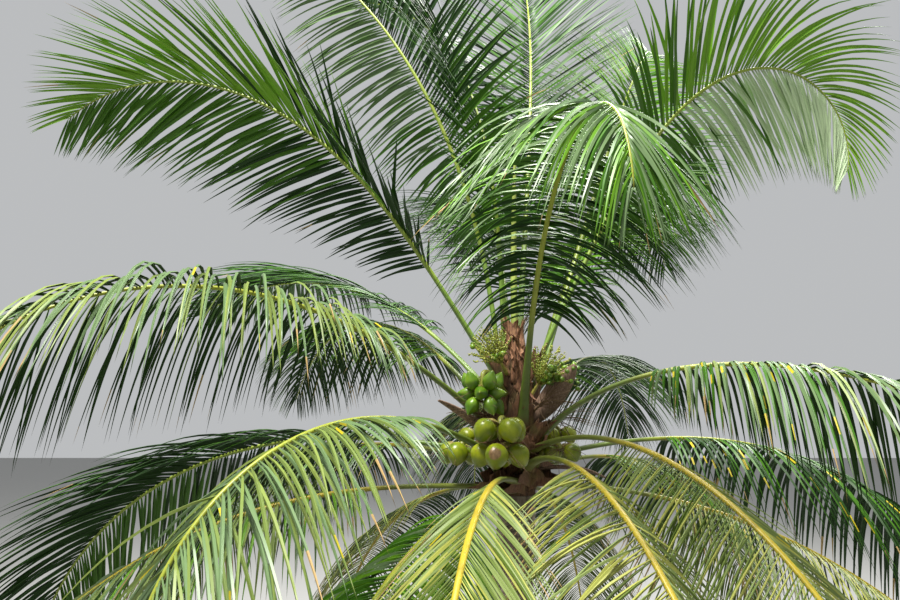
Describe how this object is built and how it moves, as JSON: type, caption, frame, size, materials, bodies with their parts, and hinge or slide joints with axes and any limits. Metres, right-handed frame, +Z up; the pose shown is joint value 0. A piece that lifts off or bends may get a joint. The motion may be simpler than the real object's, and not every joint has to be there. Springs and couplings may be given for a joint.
{
  "type": "coconut palm tree",
  "caption": "Whole coconut palm: short ringed trunk with a flared foot, full crown of arching feather fronds, hanging green coconuts, flower sprays and spathes.",
  "frame": {"origin": "centre of the flat cut under the trunk, at ground level", "axes": "+Z up along the trunk, -Y to the side with the largest nuts, +X to the right seen from there"},
  "size_m": [8.1548, 7.653, 8.8498],
  "materials": {
    "bark": "matte grey-brown bark ringed with leaf scars",
    "sheath": "matte brown fibre cloth and old leaf bases",
    "spear": "smooth yellow-green closed leaf",
    "fronds": "leathery green leaflets with a soft shine on a yellow-green rib",
    "nuts": "smooth waxy yellow-green husk",
    "young_nuts": "smooth waxy green husk",
    "flowers": "matte yellow-green strands",
    "spathe": "dry ribbed brown wood"
  },
  "bodies": {
    "root": {"flowers_back": "flowers", "flowers_left": "flowers", "flowers_right": "flowers", "frond_back_left_low": "fronds", "frond_back_left_mid": "fronds", "frond_back_left_mid_outer": "fronds", "frond_back_left_upright": "fronds", "frond_back_low": "fronds", "frond_back_lowest": "fronds", "frond_back_mid": "fronds", "frond_back_mid_outer": "fronds", "frond_back_right_low": "fronds", "frond_back_right_lowest": "fronds", "frond_back_right_mid": "fronds", "frond_back_right_mid_outer": "fronds", "frond_back_right_side": "fronds", "frond_back_right_upright": "fronds", "frond_back_upright": "fronds", "frond_front_high": "fronds", "frond_front_high_outer": "fronds", "frond_front_left_lowest": "fronds", "frond_front_low": "fronds", "frond_front_low_outer": "fronds", "frond_front_right_low": "fronds", "frond_front_right_low_outer": "fronds", "frond_left_back_mid": "fronds", "frond_left_front_low": "fronds", "frond_left_front_low_outer": "fronds", "frond_left_high": "fronds", "frond_left_high_outer": "fronds", "frond_left_low": "fronds", "frond_left_low_outer": "fronds", "frond_left_lowest": "fronds", "frond_left_mid": "fronds", "frond_left_mid_outer": "fronds", "frond_left_upright": "fronds", "frond_right_front_low": "fronds", "frond_right_front_low_outer": "fronds", "frond_right_high": "fronds", "frond_right_high_outer": "fronds", "frond_right_low": "fronds", "frond_right_lowest": "fronds", "frond_right_mid": "fronds", "frond_right_mid_outer": "fronds", "nuts_back_left": "nuts", "nuts_back_right": "nuts", "nuts_front": "nuts", "nuts_left": "nuts", "nuts_right": "nuts", "nuts_young": "young_nuts", "sheath_core": "sheath", "spathe_back": "spathe", "spathe_left": "spathe", "spathe_low_right": "spathe", "spathe_right": "spathe", "spear_leaf": "spear", "trunk": "bark"}
  },
  "joints": []
}
